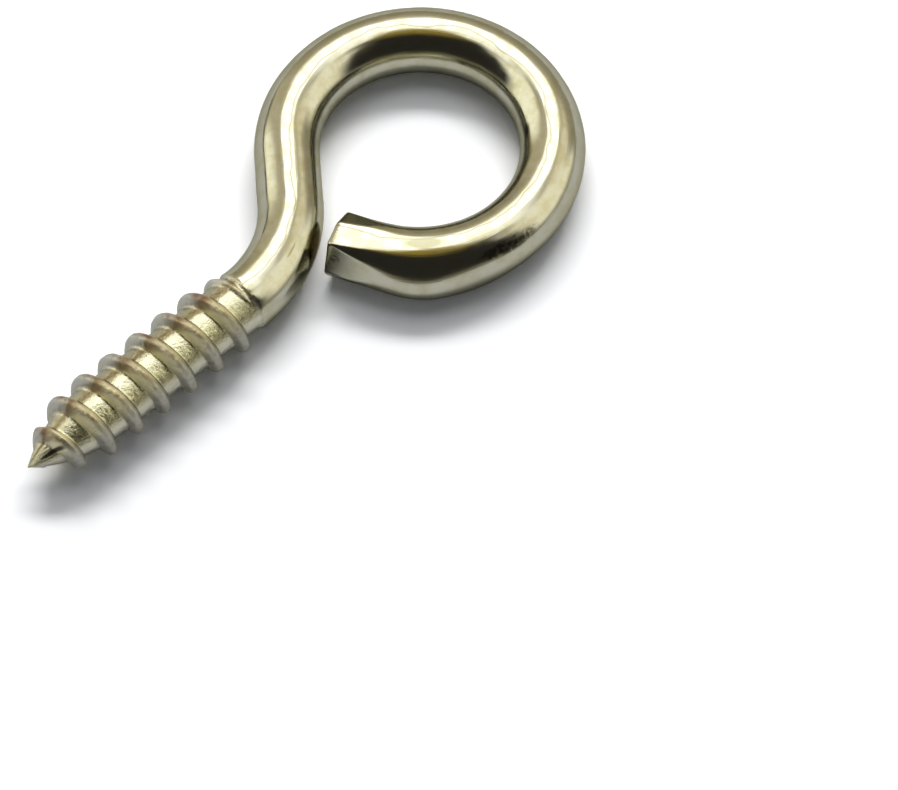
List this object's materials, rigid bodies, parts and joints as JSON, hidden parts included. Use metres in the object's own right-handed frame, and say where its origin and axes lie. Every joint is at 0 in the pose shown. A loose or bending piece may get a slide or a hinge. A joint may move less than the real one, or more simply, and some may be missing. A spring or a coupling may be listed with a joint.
{
  "type": "screw eye pin",
  "caption": "Small closed-eye wood screw bent from one plated wire: threaded shank with gimlet point, offset neck and round eye with a nipped end.",
  "frame": {"origin": "centre of the eye, in the middle of the wire's thickness", "axes": "+X along the shank from the point towards the eye, +Y to the side that the neck leans to, +Z through the eye, upwards as the pin lies flat"},
  "size_m": [0.0125, 0.006, 0.0014],
  "materials": {
    "nickel_plate": "bright warm nickel plate, slightly wavy, grainy in the thread's roots"
  },
  "bodies": {
    "root": {"screw_eye_pin": "nickel_plate"}
  },
  "joints": []
}
